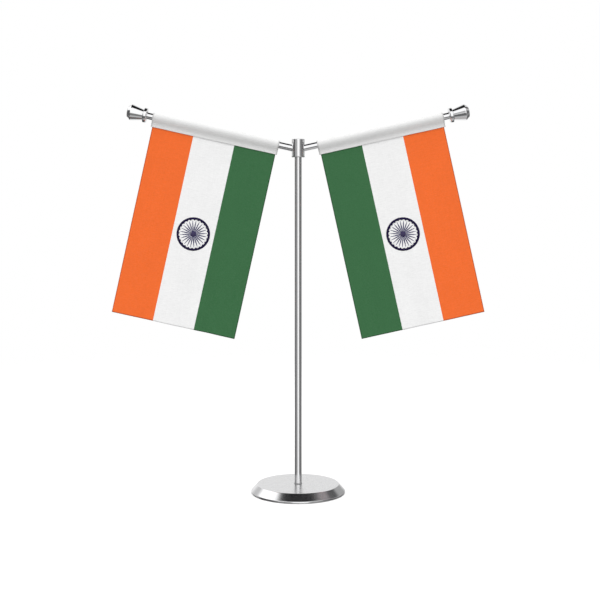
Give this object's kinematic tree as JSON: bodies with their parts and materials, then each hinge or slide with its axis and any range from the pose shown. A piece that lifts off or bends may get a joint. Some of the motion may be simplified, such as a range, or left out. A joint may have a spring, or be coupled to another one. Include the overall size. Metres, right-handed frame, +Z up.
{
  "type": "desk flag stand",
  "caption": "Desk stand with small tricolour flags hung from a V-shaped steel crosshead on a round weighted base.",
  "frame": {"origin": "centre of the base pad's underside, where the stand rests on the desk", "axes": "+X to the viewer's right, along the arms' spread; +Z up the pole; the front faces -Y"},
  "size_m": [0.3014, 0.076, 0.3139],
  "materials": {
    "satin_steel": "satin",
    "polished_steel": "polished",
    "zinc_steel": "satin",
    "black_steel": "satin",
    "cast_iron": "matte",
    "foam_pad": "matte",
    "nylon": "satin",
    "white_cloth": "matte",
    "flag_cloth": "matte"
  },
  "bodies": {
    "stand": {"base_pad": "foam_pad", "base_weight": "cast_iron", "base_cover": "satin_steel", "base_washer": "zinc_steel", "base_bolt": "zinc_steel", "foot_washer": "nylon", "pole": "satin_steel"},
    "crosshead": {"hub": "satin_steel", "hub_set_screw": "black_steel", "left_arm": "polished_steel", "right_arm": "polished_steel"},
    "left_collar": {"left_finial_stud": "zinc_steel", "left_finial_collar": "polished_steel"},
    "left_knob": {"left_finial_knob": "polished_steel"},
    "left_flag": {"left_flag_sleeve": "white_cloth", "left_flag_cloth": "flag_cloth"},
    "right_collar": {"right_finial_stud": "zinc_steel", "right_finial_collar": "polished_steel"},
    "right_knob": {"right_finial_knob": "polished_steel"},
    "right_flag": {"right_flag_sleeve": "white_cloth", "right_flag_cloth": "flag_cloth"}
  },
  "joints": [
    {"name": "hub_swivel", "type": "hinge", "parent": "stand", "child": "crosshead", "pos_m": [0, 0, 0.2777], "axis": [0, 0, 1], "continuous": true},
    {"name": "left_flag_swing", "type": "hinge", "parent": "crosshead", "child": "left_flag", "pos_m": [0, 0, 0.2777], "axis": [-0.9761, 0, 0.2173], "range_deg": [-75, 75]},
    {"name": "right_flag_swing", "type": "hinge", "parent": "crosshead", "child": "right_flag", "pos_m": [0, 0, 0.2777], "axis": [0.9761, 0, 0.2173], "range_deg": [-75, 75]},
    {"name": "left_knob_travel", "type": "slide", "parent": "crosshead", "child": "left_collar", "axis": [-0.9761, 0, 0.2173], "range_m": [0, 0.005]},
    {"name": "left_knob_turn", "type": "hinge", "parent": "left_collar", "child": "left_knob", "pos_m": [0, 0, 0.2777], "axis": [-0.9761, 0, 0.2173], "range_deg": [0, 3600]},
    {"name": "right_knob_travel", "type": "slide", "parent": "crosshead", "child": "right_collar", "axis": [0.9761, 0, 0.2173], "range_m": [0, 0.005]},
    {"name": "right_knob_turn", "type": "hinge", "parent": "right_collar", "child": "right_knob", "pos_m": [0, 0, 0.2777], "axis": [0.9761, 0, 0.2173], "range_deg": [0, 3600]}
  ],
  "couplings": [
    {"joint": "left_knob_turn", "follows": "left_knob_travel", "rad_per_m": 12566},
    {"joint": "right_knob_turn", "follows": "right_knob_travel", "rad_per_m": 12566}
  ]
}
